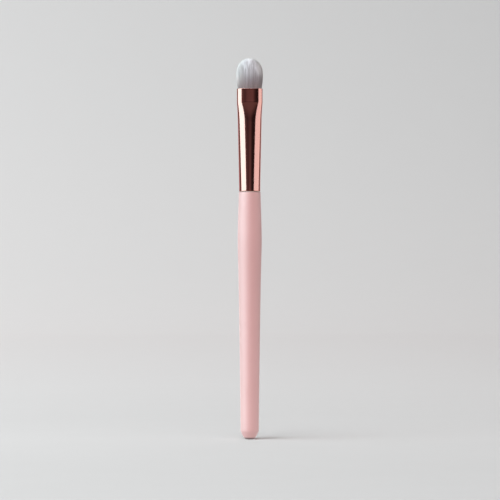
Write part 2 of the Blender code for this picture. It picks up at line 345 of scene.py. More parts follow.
handle_profile = butt_points() + taper_points() + shoulder_points() + tenon_points()
print(f"handle: {len(handle_profile)} points, widest {max(handle_profile)[0] * 2 / MM:.2f} mm")

# %% [markdown]
# A ring of corners at each point of the profile makes the skin. A ring with no radius is one corner,
# the pole. Edges sharper than 30 degrees stay crisp, and everything else is shaded smooth.

# %% Rings to a skin
SHARP_ANGLE = math.radians(30)


def skin(name, rings, material):
    """Joins rings of points, bottom to top, into a closed skin; a ring of one point is a pole."""
    bm = bmesh.new()
    rows = [[bm.verts.new(point) for point in ring] for ring in rings]
    sides = max(len(row) for row in rows)
    for low, high in zip(rows, rows[1:]):
        for i in range(sides):
            j = (i + 1) % sides
            corners = [low[i % len(low)], low[j % len(low)], high[j % len(high)], high[i % len(high)]]
            bm.faces.new(dict.fromkeys(corners)).smooth = True
    for edge in bm.edges:
        edge.smooth = len(edge.link_faces) < 2 or edge.calc_face_angle() < SHARP_ANGLE
    mesh = bpy.data.meshes.new(name)
    bm.to_mesh(mesh)
    bm.free()
    mesh.materials.append(material)
    piece = bpy.data.objects.new(name, mesh)
    bpy.context.collection.objects.link(piece)
    print(f"{name}: {len(mesh.polygons)} faces")
    return piece


def turned_ring(radius, z, sides):
    if radius == 0:
        return [Vector((0.0, 0.0, z))]
    angles = [2 * math.pi * i / sides for i in range(sides)]
    return [Vector((radius * math.cos(a), radius * math.sin(a), z)) for a in angles]


# %% [markdown]
# The lacquer is a warm pink with faint clouds in it. Over the last few millimetres of the butt it is
# painted a touch deeper, as painted shade and bounced light near the floor. Two thin dark lines of
# painted shade close it off, one in the shadow gap under the ferrule and one at the very foot, where
# the butt meets the floor. Above the shoulder the same material turns to bare wood, because no
# lacquer goes inside the ferrule.

# %% Lacquer colours
LACQUER = (0.765, 0.320, 0.303)
LACQUER_CLOUD = (0.745, 0.296, 0.279)
LACQUER_PAINTED_BUTT_SHADE = (0.75, 0.260, 0.240)
LACQUER_PAINTED_SHADE_LINE = (0.13, 0.045, 0.04)
WOOD_LIGHT = (0.66, 0.47, 0.29)
WOOD_DARK = (0.46, 0.29, 0.16)
WOOD_GRAIN = (1800.0, 1800.0, 60.0)
CLOUD_SCALE = 55.0
BUTT_SHADE_HEIGHT = 4.5 * MM
BUTT_SHADE_STRENGTH = 0.7
FOOT_SHADE_LINE = 1.0 * MM
FOOT_SHADE_LINE_FIRMNESS = 1.4
TOP_SHADE_LINE = 0.45 * MM
TOP_SHADE_LINE_FIRMNESS = 1.3
TOP_SHADE_LINE_STRENGTH = 0.85
DIP_EDGE_Z = SHOULDER_Z - 0.02 * MM

lacquer, tree = new_finish("pink_lacquer")
where = place(tree)
height = part_of(tree, where, "Z")
clouds = noise(tree, where, CLOUD_SCALE, 3.0)
tint = blend(tree, clouds, LACQUER, LACQUER_CLOUD)
# painted shade and bounced light near the floor, deeper towards the butt
deep = smooth_step(1 - height / BUTT_SHADE_HEIGHT) * BUTT_SHADE_STRENGTH
tint = blend(tree, deep, tint, LACQUER_PAINTED_BUTT_SHADE)
# two thin lines of painted shade: one at the foot, one in the gap under the ferrule
foot_shade_line = smooth_step((1 - height / FOOT_SHADE_LINE) * FOOT_SHADE_LINE_FIRMNESS)
top_shade_line = smooth_step((height - (SHOULDER_Z - TOP_SHADE_LINE)) / TOP_SHADE_LINE * TOP_SHADE_LINE_FIRMNESS)
line = foot_shade_line + top_shade_line * TOP_SHADE_LINE_STRENGTH
tint = blend(tree, line, tint, LACQUER_PAINTED_SHADE_LINE)
grain = noise(tree, stretched(tree, where, WOOD_GRAIN), 1.0, 4.0)
bare = height.math("GREATER_THAN", height, DIP_EDGE_Z)
tint = blend(tree, bare, tint, blend(tree, grain, WOOD_LIGHT, WOOD_DARK))
print("lacquered from the flat up to", round(DIP_EDGE_Z / MM, 2), "mm")

# %% [markdown]
# The colour goes into one Principled shader. Real soft-touch lacquer has no sharp highlight, yet it is
# pale towards its edges, where light grazes it. A very rough coat with a high index of refraction and
# a little sheen do that without any node that knows where the camera is. The orange skin is a fine
# noise in the bump, a few thousandths of a millimetre high.

# %% Lacquer shader
SKIN_FINE_SCALE = 1500.0
SKIN_BROAD_SCALE = 420.0
SKIN_BROAD_STRENGTH = 0.8
SKIN_DEPTH = 0.004 * MM
LACQUER_ROUGHNESS = 0.64
CLOUD_ROUGHNESS = 0.12
WOOD_EXTRA_ROUGHNESS = 0.2
SHADE_LINE_DULLNESS = 0.9

skin_waves = noise(tree, where, SKIN_FINE_SCALE, 1.0)
skin_waves = skin_waves + noise(tree, where, SKIN_BROAD_SCALE, 1.0) * SKIN_BROAD_STRENGTH
shader = tree.node("ShaderNodeBsdfPrincipled", sockets={
    "Base Color": tint,
    "Roughness": LACQUER_ROUGHNESS + (clouds - 0.5) * CLOUD_ROUGHNESS + bare * WOOD_EXTRA_ROUGHNESS,
    "IOR": 1.85,
    "Specular IOR Level": 1.0,
    # the coat is thinned along the painted shade lines so that they stay dark
    "Coat Weight": 1 - line * SHADE_LINE_DULLNESS,
    "Coat IOR": 2.9,
    "Coat Roughness": 0.6,
    "Sheen Weight": 0.5,
    "Sheen Roughness": 0.45,
    "Normal": bump(tree, skin_waves, SKIN_DEPTH),
})
close_finish(lacquer, tree, shader)

# %% Handle piece
rings = [turned_ring(radius, z, HANDLE_SIDES) for radius, z in handle_profile]
handle = skin("lacquered_handle", rings, lacquer)

# %% [markdown]
# ## The ferrule
#
# The ferrule starts as a round tube of thin aluminium. A taper flares it a little, and a die presses
# its mouth flat, so its outline goes from a circle to a squared oval. Its shape follows one rule at
# every height, which makes it a good subject for Geometry Nodes: a flat grid is bent into the wall.
# One side of the grid runs round the tube, the other runs up the outside, over the rim, down the
# bore and back round the lower rim.
#
# First the rule itself, for half the width, half the depth and the squareness at a height. It works
# on numbers and on wires.

# %% Ferrule rule
FERRULE = {
    "Base Height": 94.1 * MM,
    "Length": 39.0 * MM,
    "Diameter": 8.0 * MM,
    "Wall": 0.35 * MM,
    "Rim Height": 0.06 * MM,
    "Round Length": 1.0 * MM,
    "Flare Width": 9.3 * MM,
    "Flare Depth": 6.6 * MM,
    "Flare Ease": 1.1,
    "Mouth Width": 9.76 * MM,
    "Mouth Depth": 5.4 * MM,
    "Mouth Squareness": 2.5,
    "Press Height": 5.2 * MM,
    "Press Blend": 7.4 * MM,
    "Press Ease": 2.0,
    "Crease": 0.03 * MM,
    "Sides": 144,
    "Rows": 240,
}
MOUTH_Z = FERRULE["Base Height"] + FERRULE["Length"]


def press_line(size):
    return size["Base Height"] + size["Length"] - size["Press Height"]


def section(z, inset, size):
    """Half width, half depth and squareness of the ferrule's outline at z, drawn in by inset."""
    press_z = press_line(size)
    flare_z = size["Base Height"] + size["Round Length"]
    flare = clamped((z - flare_z) / (press_z - flare_z)) ** size["Flare Ease"]
    press = clamped((z - press_z) / size["Press Blend"] + 1) ** size["Press Ease"]
    width = size["Diameter"] + (size["Flare Width"] - size["Diameter"]) * flare
    depth = size["Diameter"] + (size["Flare Depth"] - size["Diameter"]) * flare
    width = width + (size["Mouth Width"] - size["Flare Width"]) * press
    depth = depth + (size["Mouth Depth"] - size["Flare Depth"]) * press
    squareness = 2 + (size["Mouth Squareness"] - 2) * press
    return width / 2 - inset, depth / 2 - inset, squareness


def squared_oval(angle, half_width, half_depth, squareness):
    """x and y of the point at an angle on the outline; a squareness of 2 is a plain ellipse."""
    c, s = cosine(angle), sine(angle)
    x = half_width * sign_of(c) * size_of(c) ** (2 / squareness)
    y = half_depth * sign_of(s) * size_of(s) ** (2 / squareness)
    return x, y


mouth = section(MOUTH_Z, 0.0, FERRULE)
print(f"mouth: {mouth[0] * 2 / MM:.2f} by {mouth[1] * 2 / MM:.2f} mm")


# %% [markdown]
# Geometry Nodes results are kept as plain meshes. The helper gives the tree one named input for each
# size, sets them on the modifier by identifier, evaluates it once and takes the modifier off again.

# %% Run a geometry tree
def run_tree(name, build, sizes, material):
    group = bpy.data.node_groups.new(name, "GeometryNodeTree")
    for label, value in sizes.items():
        kind = "NodeSocketInt" if isinstance(value, int) else "NodeSocketFloat"
        group.interface.new_socket(label, in_out="INPUT", socket_type=kind)
    group.interface.new_socket("Geometry", in_out="OUTPUT", socket_type="NodeSocketGeometry")
    tree = Tree(group)
    entry = tree.node("NodeGroupInput")
    geometry = build(tree, {label: entry.output(label) for label in sizes})
    geometry = tree.node("GeometryNodeRealizeInstances", sockets={"Geometry": geometry})
    geometry = tree.node("GeometryNodeSetMaterial", sockets={"Geometry": geometry, "Material": material})
    tree.node("NodeGroupOutput", sockets={"Geometry": geometry})

    piece = bpy.data.objects.new(name, bpy.data.meshes.new(name))
    bpy.context.collection.objects.link(piece)
    modifier = piece.modifiers.new("Make", "NODES")
    modifier.node_group = group
    for socket in group.interface.items_tree:
        if socket.in_out == "INPUT":
            modifier[socket.identifier] = sizes[socket.name]
    evaluated = piece.evaluated_get(bpy.context.evaluated_depsgraph_get())
    mesh = bpy.data.meshes.new_from_object(evaluated)
    piece.modifiers.remove(modifier)
    piece.data = mesh
    mesh.name = name
    triangles = sum(len(face.vertices) - 2 for face in mesh.polygons)
    print(f"{name}: {triangles} triangles, box {in_mm((min_corner(mesh), max_corner(mesh)))}")
    return piece


def min_corner(mesh):
    return [min(vertex.co[axis] for vertex in mesh.vertices) for axis in range(3)]


def max_corner(mesh):
    return [max(vertex.co[axis] for vertex in mesh.vertices) for axis in range(3)]


# %% [markdown]
# The tree reads each grid point as two shares. `around` becomes the angle. `along` is cut into four
# stretches: up the outside, over the mouth's rounded rim, down the bore, and round the lower rim.
# Merge by Distance then closes both seams. A faint crease marks where the die bit.

# %% Ferrule tree
OUTSIDE_SHARE = 0.5
RIM_SHARE = 0.06
CREASE_REACH = 0.55 * MM
SEAM = 0.0005 * MM


def ferrule_tree(tree, size):
    grid = tree.node("GeometryNodeMeshGrid", sockets={
        "Size X": 1.0,
        "Size Y": 1.0,
        "Vertices X": size["Sides"] + 1,
        "Vertices Y": size["Rows"] + 1,
    })
    spot = tree.node("ShaderNodeSeparateXYZ", sockets={"Vector": tree.node("GeometryNodeInputPosition")})
    around = spot.output("X") + 0.5
    along = spot.output("Y") + 0.5

    bore_start = OUTSIDE_SHARE + RIM_SHARE
    up = clamped(along / OUTSIDE_SHARE)
    over = clamped((along - OUTSIDE_SHARE) / RIM_SHARE) * math.pi
    down = clamped((along - bore_start) / (1 - RIM_SHARE - bore_start))
    under = clamped((along - 1 + RIM_SHARE) / RIM_SHARE) * math.pi
    lip = size["Rim Height"]
    straight = size["Length"] - 2 * lip
    z = size["Base Height"] + lip + straight * (up - down) + lip * (sine(over) - sine(under))
    inset = size["Wall"] / 2 * (cosine(under) - cosine(over))

    bite = clamped(1 - ((z - press_line(size)) / CREASE_REACH) ** 2)
    angle = around * (2 * math.pi)
    inset = inset + size["Crease"] * bite * bite * size_of(sine(angle))
    x, y = squared_oval(angle, *section(z, inset, size))
    bent = tree.node("ShaderNodeCombineXYZ", sockets={"X": x, "Y": y, "Z": z})
    tube = tree.node("GeometryNodeSetPosition", sockets={"Geometry": grid, "Position": bent})
    tube = tree.node("GeometryNodeMergeByDistance", sockets={"Geometry": tube, "Distance": SEAM})
    return tree.node("GeometryNodeSetShadeSmooth", sockets={"Geometry": tube})


# %% [markdown]
# The plating is a thin rose-gold layer, polished until it mirrors the room. Polished tube still keeps
# very fine draw marks along its length, and handling leaves soft smudges. Both are in the roughness
# and the bump, at sizes far below a millimetre, so the reflections stay clean but not perfect.

# %% Plating
ROSE_GOLD = (0.90, 0.46, 0.40)
ROSE_GOLD_WORN = (0.88, 0.50, 0.44)
DRAW_MARKS = (5200.0, 5200.0, 45.0)
DRAW_MARK_DEPTH = 0.0006 * MM
SMUDGE_SCALE = 260.0
POLISH = 0.09
SMUDGE_ROUGHNESS = 0.06
DRAW_MARK_ROUGHNESS = 0.03

plating, tree = new_finish("rose_plating")
where = place(tree)
draw_marks = noise(tree, stretched(tree, where, DRAW_MARKS), 1.0, 3.0)
smudges = noise(tree, where, SMUDGE_SCALE, 3.0, 0.6)
dullness = clamped(smudges * 2 - 0.8) * SMUDGE_ROUGHNESS
shader = tree.node("ShaderNodeBsdfPrincipled", sockets={
    "Base Color": blend(tree, smudges, ROSE_GOLD, ROSE_GOLD_WORN),
    "Metallic": 1.0,
    "Roughness": POLISH + dullness + draw_marks * DRAW_MARK_ROUGHNESS,
    "Normal": bump(tree, draw_marks, DRAW_MARK_DEPTH),
})
close_finish(plating, tree, shader)

# %% Ferrule piece
ferrule = run_tree("rose_gold_ferrule", ferrule_tree, FERRULE, plating)

# %% [markdown]
# ## The bonded root
#
# Inside the ferrule the filaments are bundled, tied and set in resin, so below the mouth they are one
# solid. It splays at the cut ends, is drawn in where the thread goes round it, and fills the bore
# above. Only its top face can be seen, deep between the filaments. It could be another tree, but a
# skin over stacked rings is enough, and the ferrule's own rule gives each ring.

# %% Root sizes and outline
ROOT_Z = 119.1 * MM
SLICE_Z = 132.8 * MM
TIE_Z = 121.7 * MM
TIE_TOP_Z = 124.4 * MM
THREAD_DIAMETER = 0.4 * MM
FILL_INSET = 0.45 * MM
WAIST_INSET = 1.15 * MM
ROOT_SPLAY = 0.3 * MM
WAIST_EASE = 1.6 * MM
ROOT_SIDES = 96


def outline_ring(z, inset):
    half_width, half_depth, squareness = section(z, inset, FERRULE)
    ring = []
    for i in range(ROOT_SIDES):
        x, y = squared_oval(2 * math.pi * i / ROOT_SIDES, half_width, half_depth, squareness)
        ring.append(Vector((x, y, z)))
    return ring


def root_stations():
    """(height, inset from the ferrule's outside) pairs, from the cut ends up to the bonded face."""
    waist_low = TIE_Z - THREAD_DIAMETER
    waist_high = TIE_TOP_Z + THREAD_DIAMETER
    stations = []
    for share in between(0.0, 1.0, 8):
        stations.append((ROOT_Z + (waist_low - ROOT_Z) * share, WAIST_INSET - ROOT_SPLAY * (1 - share)))
    stations.append((waist_high, WAIST_INSET))
    for share in between(0.0, 1.0, 8)[1:]:
        draw = WAIST_INSET + (FILL_INSET - WAIST_INSET) * share
        stations.append((waist_high + WAIST_EASE * share, draw))
    return stations + [(z, FILL_INSET) for z in between(waist_high + WAIST_EASE, SLICE_Z, 12)[1:]]


print(f"root: {len(root_stations())} rings from {ROOT_Z / MM:.1f} to {SLICE_Z / MM:.1f} mm")


# %% [markdown]
# Its finish is hair set in glue: fine lines that run along it, darker and glossier than free hair.

# %% Bonded root finish
ROOT_LIGHT = (0.50, 0.44, 0.42)
ROOT_DARK = (0.24, 0.20, 0.19)
ROOT_LINES = (9000.0, 9000.0, 120.0)
ROOT_LINE_DEPTH = 0.03 * MM

bonded, tree = new_finish("bonded_filament")
lines = noise(tree, stretched(tree, place(tree), ROOT_LINES), 1.0, 2.0)
shader = tree.node("ShaderNodeBsdfPrincipled", sockets={
    "Base Color": blend(tree, lines, ROOT_DARK, ROOT_LIGHT),
    "Roughness": 0.5 - lines * 0.15,
    "Normal": bump(tree, lines, ROOT_LINE_DEPTH),
})
close_finish(bonded, tree, shader)

# %% Root piece
rings = [outline_ring(z, inset) for z, inset in root_stations()]
rings = [[Vector((0.0, 0.0, ROOT_Z))]] + rings + [[Vector((0.0, 0.0, SLICE_Z))]]
root = skin("bonded_root", rings, bonded)

# %% [markdown]
# ## The filaments
#
# The tuft is a few thousand synthetic filaments, each thinner than a tenth of a millimetre. They rise
# from the mouth, swell a little past its width, and end in a dome: the middle ones are longest. The
# dome is what makes the brush lay colour softly, so its outline has to be right from every side.
#
# A hair system could do it, but the export needs a mesh. Geometry Nodes fits: points are scattered
# over the mouth's outline, a line of points stands on each, every point of the line is moved by the
# same kind of rule as the coarse filaments of the solid, and a three-sided tube follows the line.

# %% Filament sizes
TUFT = {
    "Half Width": 4.43 * MM,
    "Half Depth": 2.22 * MM,
    "Squareness": 2.5,
    "Spacing": 0.086 * MM,
    "Foot": -0.6 * MM,
    "Length": 11.48 * MM,
    "Dome Height": 5.1 * MM,
    "Dome Squareness": 2.3,
    "Swell Height": 5.0 * MM,
    "Lip Spread": 0.12 * MM,
    "Lip Height": 0.35 * MM,
    "Swell Width": 0.44 * MM,
    "Swell Depth": 0.32 * MM,
    "Tip Width Share": 1.0,
    "Tip Depth Share": 0.66,
    "Uneven": 0.5 * MM,
    "Clump": 0.10 * MM,
    "Wander": 0.05 * MM,
    "Radius": 0.042 * MM,
    "Bundle Share": 0.75,
    "Rounding": 2.0,
    "Upward Share": 0.2,
    "Rings": 10,
    "Seed": 7,
}


# %% [markdown]
# The tree works in three steps. It fills the outline and scatters points on it with a least distance,
# so that no two filaments share a foot. It remembers each foot's place and three random numbers,
# because they are lost once the points become lines. Then it bends the lines.

# %% Feet of the filaments
OUTLINE_POINTS = 128
FEET_TRIED = 5


def random_number(tree, number, seed, low=0.0, high=1.0):
    """A random number for each foot; number tells this draw from the others."""
    sockets = {"Min": low, "Max": high, "Seed": seed + number}
    return tree.node("FunctionNodeRandomValue", {"data_type": "FLOAT"}, sockets)


def captured(tree, geometry, **fields):
    """Keeps fields on the points, for use after the points have become something else."""
    node = tree.tree.nodes.new("GeometryNodeCaptureAttribute")
    tree.tree.links.new(geometry.socket, node.inputs["Geometry"])
    kept = []
    for label, (kind, field) in fields.items():
        node.capture_items.new(kind, label)
        tree.tree.links.new(field.socket, node.inputs[label])
        kept.append(Wire(tree, node.outputs[label]))
    return Wire(tree, node.outputs["Geometry"]), *kept


def feet_of(tree, size):
    """Points over the mouth's outline, at least one spacing apart."""
    angle = tree.node("GeometryNodeInputIndex") * (2 * math.pi / OUTLINE_POINTS)
    x, y = squared_oval(angle, size["Half Width"], size["Half Depth"], size["Squareness"])
    outline = tree.node("GeometryNodeCurvePrimitiveCircle", sockets={"Resolution": OUTLINE_POINTS})
    edge = tree.node("ShaderNodeCombineXYZ", sockets={"X": x, "Y": y})
    outline = tree.node("GeometryNodeSetPosition", sockets={"Geometry": outline, "Position": edge})
    plate = tree.node("GeometryNodeFillCurve", sockets={"Curve": outline})
    return tree.node("GeometryNodeDistributePointsOnFaces", {"distribute_method": "POISSON"}, {
        "Mesh": plate,
        "Distance Min": size["Spacing"],
        "Density Max": FEET_TRIED / (size["Spacing"] * size["Spacing"]),
        "Seed": size["Seed"],
    })


# %% [markdown]
# Three rules give the tuft its outline. One says how far from the middle a foot is, one how high the
# dome is above it, and one how far a filament has spread at a height. They are the rules of the solid
# tuft, with sizes that make the finer tubes fill the same outline.

# %% Outline of the tuft
def off_centre(x, y, size):
    """0 in the middle of the mouth, 1 at its edge."""
    n = size["Squareness"]
    return (size_of(x / size["Half Width"]) ** n + size_of(y / size["Half Depth"]) ** n) ** (1 / n)


def tip_height(off, size):
    """High in the middle of the dome, low round its edge."""
    k = size["Dome Squareness"]
    rise = clamped(1 - off ** k) ** (1 / k)
    return size["Length"] - size["Dome Height"] * (1 - rise)


def spread(height, half_size, swell, tip_share, size):
    """How far a filament stands out at a height, as a share of its place in the mouth."""
    widest = swell / half_size
    rise = clamped(height / size["Swell Height"])
    past = clamped((height - size["Swell Height"]) / (size["Length"] - size["Swell Height"]))
    lip = clamped(height / size["Lip Height"]) * size["Lip Spread"] / half_size
    return 1 + lip + widest * sine(rise * (math.pi / 2)) + (tip_share - 1 - widest - lip) * past * past


# %% [markdown]
# A real tuft is so dense that light treats it as one soft body. A tube as thin as these has a bright
# side and a dark side of its own, and thousands of them side by side look like wire. So each filament
# takes most of its shading direction from the bundle. The rule below gives the direction in which the
# bundle's outside faces, and Set Mesh Normal later stores a mix of that and the tube's own.

# %% Direction of the bundle
LEAST_SIDEWAYS = 0.3


def dome_normal(tree, x, y, off, size):
    """Which way the outside of the whole tuft faces above a foot."""
    lean = size["Squareness"] - 1
    sideways = sign_of(x) * size_of(x / size["Half Width"]) ** lean * size["Rounding"] / size["Half Width"]
    forwards = sign_of(y) * size_of(y / size["Half Depth"]) ** lean / size["Half Depth"]
    flat = tree.node("ShaderNodeCombineXYZ", sockets={"X": sideways, "Y": forwards})
    flat = tree.node("ShaderNodeVectorMath", {"operation": "NORMALIZE"}, {0: flat})
    length = off + LEAST_SIDEWAYS
    flat = tree.node("ShaderNodeVectorMath", {"operation": "SCALE"}, {0: flat, "Scale": length})
    up = tree.node("ShaderNodeCombineXYZ", sockets={"Z": clamped(1 - off * off) * size["Upward Share"]})
    return tree.node("ShaderNodeVectorMath", {"operation": "ADD"}, {0: flat, 1: up})


# %% [markdown]
# Now the lines. Each is bent by the rules above, pulled a little towards its neighbours by a coarse
# noise, and given a slow wave of its own. Three numbers are stored on it for its finish: its height,
# a random number and how far to the side it stands. A tube with three sides then follows it, thinner
# towards the tip, and closed at both ends.

# %% Filament tree
CLUMP_SCALE = 1500.0
CLUMP_GAIN = 4
WAVES = 5
POINT_STEEPNESS = 5
POINT_BLUNTNESS = 0.12
THINNING = 0.25


def bent_place(tree, foot, x, y, height, turn, size):
    """Where a point of a filament is, from its foot's place and its height above the mouth."""
    wide = spread(height, size["Half Width"], size["Swell Width"], size["Tip Width Share"], size)
    deep = spread(height, size["Half Depth"], size["Swell Depth"], size["Tip Depth Share"], size)
    free = clamped(height / size["Length"])
    pull = {"Vector": foot, "Scale": CLUMP_SCALE, "Detail": 1.0}
    pull = tree.node("ShaderNodeTexNoise", {"noise_dimensions": "2D"}, pull)
    pull = tree.node("ShaderNodeSeparateXYZ", sockets={"Vector": pull.output("Color")})
    clump = free * size["Clump"] * CLUMP_GAIN
    wander = sine(free * WAVES + turn) * free * size["Wander"]
    bent = tree.node("ShaderNodeCombineXYZ", sockets={
        "X": x * wide + clump * (pull.output("X") - 0.5) + wander * cosine(turn),
        "Y": y * deep + clump * (pull.output("Y") - 0.5) + wander * sine(turn),
        "Z": MOUTH_Z + height,
    })
    return bent, free


def shaded_as_bundle(tree, tubes, outward, size):
    """Turns the stored normals of the tubes towards the outside of the bundle."""
    facing = tree.node("ShaderNodeMix", {"data_type": "VECTOR"}, {
        "Factor_Float": size["Bundle Share"],
        "A_Vector": tree.node("GeometryNodeInputNormal"),
        "B_Vector": outward,
    })
    facing = tree.node("ShaderNodeVectorMath", {"operation": "NORMALIZE"}, {0: facing})
    sockets = {"Mesh": tubes, "Custom Normal": facing}
    return tree.node("GeometryNodeSetMeshNormal", {"mode": "FREE"}, sockets)


def filament_tree(tree, size):
    feet = feet_of(tree, size)
    feet, foot, chance, dye, turn = captured(
        tree, feet,
        foot=("VECTOR", tree.node("GeometryNodeInputPosition")),
        chance=("FLOAT", random_number(tree, 0, size["Seed"])),
        dye=("FLOAT", random_number(tree, 1, size["Seed"])),
        turn=("FLOAT", random_number(tree, 2, size["Seed"], 0.0, 2 * math.pi)),
    )
    line = tree.node("GeometryNodeCurvePrimitiveLine", sockets={"End": (0.0, 0.0, 1.0)})
    line = tree.node("GeometryNodeResampleCurve", sockets={"Curve": line, "Count": size["Rings"]})
    lines = tree.node("GeometryNodeInstanceOnPoints", sockets={"Points": feet, "Instance": line})
    lines = tree.node("GeometryNodeRealizeInstances", sockets={"Geometry": lines})

    share = tree.node("GeometryNodeSplineParameter")
    x = part_of(tree, foot, "X")
    y = part_of(tree, foot, "Y")
    off = off_centre(x, y, size)
    tip = tip_height(off, size) + (chance - 0.5) * size["Uneven"]
    height = size["Foot"] + (tip - size["Foot"]) * share
    bent, free = bent_place(tree, foot, x, y, height, turn, size)
    lines = tree.node("GeometryNodeSetPosition", sockets={"Geometry": lines, "Position": bent})
    side = size_of(x / size["Half Width"])
    for label, field in (("height_share", free), ("chance", dye), ("side", side)):
        sockets = {"Geometry": lines, "Name": label, "Value": field}
        lines = tree.node("GeometryNodeStoreNamedAttribute", {"domain": "POINT"}, sockets)
    outward = dome_normal(tree, x, y, off, size)
    lines, outward = captured(tree, lines, outward=("VECTOR", outward))

    sockets = {"Resolution": 3, "Radius": size["Radius"]}
    profile = tree.node("GeometryNodeCurvePrimitiveCircle", sockets=sockets)
    taper = clamped((1 - share) * POINT_STEEPNESS + POINT_BLUNTNESS) * (1 - THINNING * free)
    tubes = tree.node("GeometryNodeCurveToMesh", sockets={
        "Curve": lines,
        "Profile Curve": profile,
        "Scale": taper,
        "Fill Caps": True,
    })
    return shaded_as_bundle(tree, tubes, outward, size)


# %% [markdown]
# Each filament is dyed grey at its foot and left white at its tip. The change is soft, and a little
# higher on one filament than on the next. The grey at the foot is partly dye and partly a painted rosy
# tint, light reflected from the rose-gold metal. At the tuft's two edges, where it is thin, painted
# light stands for light that comes through it: there it is pale, rosy near the metal that it stands
# in, and white further up. The lower edge on the side away from the big lamp stays grey, as painted
# shade. The pairs below say where a change starts and how long it is: as shares of the filament's
# height for GREY_AT, WHITE_AT and the names with CLEARS or WHITENS, as shares of the way out to the
# side for EDGE_AT, and in metres for FAR_SIDE_AT.

# %% Filament colours
TIP_WHITE = (0.76, 0.73, 0.765)
MIDDLE_GREY = (0.435, 0.380, 0.410)
# partly grey dye, partly a painted rosy tint of light reflected from the ferrule
FOOT_GREY = (0.335, 0.237, 0.230)
PAINTED_EDGE_WHITE = (0.95, 0.91, 0.91)
PAINTED_EDGE_ROSE = (0.84, 0.64, 0.63)
FINE_STREAKS = (1900.0, 1900.0, 60.0)
CHANCE_SHIFT = 0.12
STREAK_SHIFT = 0.35
GREY_AT = (0.0, 0.34)
WHITE_AT = (0.26, 0.34)
EDGE_AT = (0.3, 0.6)
EDGE_CLEARS_AT = (-0.22, 0.64)
EDGE_WHITENS_AT = (0.0, 0.55)
FAR_SIDE_AT = (-0.34 * MM, 3.4 * MM)
FAR_EDGE_CLEARS_AT = (0.3, 0.3)

hair, tree = new_finish("dyed_filament")
where = place(tree)
height, chance, side = [
    tree.node("ShaderNodeAttribute", {"attribute_name": label}).output("Fac")
    for label in ("height_share", "chance", "side")
]
streaks = noise(tree, stretched(tree, where, FINE_STREAKS), 1.0, 2.0)
level = height + (chance - 0.5) * CHANCE_SHIFT + (streaks - 0.5) * STREAK_SHIFT
tint = blend(tree, eased(level, *GREY_AT), FOOT_GREY, MIDDLE_GREY)
tint = blend(tree, eased(level, *WHITE_AT), tint, TIP_WHITE)
# painted light at the thin edges, where light would come through the tuft
painted_edge_light = eased(side, *EDGE_AT) * eased(level, *EDGE_CLEARS_AT)
# painted shade: the lower edge on the side away from the big lamp stays grey
far_side_painted_shade = eased(part_of(tree, where, "X"), *FAR_SIDE_AT)
painted_edge_light = painted_edge_light * (1 - far_side_painted_shade * (1 - eased(level, *FAR_EDGE_CLEARS_AT)))
pale = blend(tree, eased(level, *EDGE_WHITENS_AT), PAINTED_EDGE_ROSE, PAINTED_EDGE_WHITE)
tint = blend(tree, painted_edge_light, tint, pale)
print("hair so far:", len(tree.tree.nodes), "nodes")

# %% [markdown]
# Between the filaments one looks into the shaded inside of the tuft. Here that shade is painted: at
# this size it reads as streaks, some as broad as a lock of hair and some as fine as one filament. Both
# are noises stretched along the brush. They are strongest at the foot and fade towards the tips and
# the pale edges.

# %% Streaks and the shader of the hair
PAINTED_STREAK_SHADE = (0.172, 0.119, 0.123)
LOCKS = (720.0, 720.0, 16.0)
LOCKS_PLACE = (0.0, 0.050, 0.0)


def streak_share(value, at, strength, fade, edge_fade):
    """How much painted shade shows, from a noise: less towards the tips and the pale edges."""
    return eased(value, *at) * (strength - height * fade) * (1 - painted_edge_light * edge_fade)


shifted = tree.node("ShaderNodeVectorMath", {"operation": "ADD"}, {0: where, 1: LOCKS_PLACE})
clumps = noise(tree, stretched(tree, shifted, LOCKS), 1.0, 2.0)
# painted shade between the filaments, as broad and fine streaks
coarse = streak_share(clumps, (0.38, 0.22), strength=0.66, fade=0.38, edge_fade=0.4)
tint = blend(tree, coarse, tint, PAINTED_STREAK_SHADE)
fine = streak_share(streaks, (0.48, 0.12), strength=0.94, fade=0.62, edge_fade=0.6)
tint = blend(tree, fine, tint, PAINTED_STREAK_SHADE)
shader = tree.node("ShaderNodeBsdfPrincipled", sockets={
    "Base Color": tint,
    "Roughness": 0.36 + chance * 0.14,
    "IOR": 1.6,
    "Specular IOR Level": 1.0,
    "Sheen Weight": 0.4,
})
close_finish(hair, tree, shader)

# %% [markdown]
# The filaments cast no shadow in the renders. Real ones are clear enough to pass light on to their
# neighbours, and with shadows the inside of this tuft would be far darker than a real one.

# %% Filament piece
filaments = run_tree("filaments", filament_tree, TUFT, hair)
filaments.visible_shadow = False

# %% [markdown]
# ## Hidden pieces
#
# The tie and the two glues keep their solids, because those already have the right shape. They only
# need real finishes: cotton with its twist, and resin with a few bubbles in it.

# %% Thread and resin
TWISTS_PER_TURN = 46
TWIST_SLANT = 9000
FUZZ_SCALE = 9000.0
COTTON_DARK = (0.52, 0.48, 0.39)
COTTON_LIGHT = (0.86, 0.83, 0.75)
BUBBLE_SCALE = 1400.0
RESIN_CLOUD_SCALE = 700.0
RESIN_AMBER = (0.70, 0.56, 0.32)
RESIN_PALE = (0.80, 0.70, 0.50)

cotton, tree = new_finish("cotton_thread")
where = place(tree)
angle = where.math("ARCTAN2", part_of(tree, where, "Y"), part_of(tree, where, "X"))
twist = sine(angle * TWISTS_PER_TURN + part_of(tree, where, "Z") * TWIST_SLANT)
fuzz = noise(tree, where, FUZZ_SCALE, 3.0)
shader = tree.node("ShaderNodeBsdfPrincipled", sockets={
    "Base Color": blend(tree, clamped(twist * 0.35 + fuzz), COTTON_DARK, COTTON_LIGHT),
    "Roughness": 0.9,
    "Sheen Weight": 0.3,
    "Normal": bump(tree, twist + fuzz, 0.02 * MM),
})
close_finish(cotton, tree, shader)

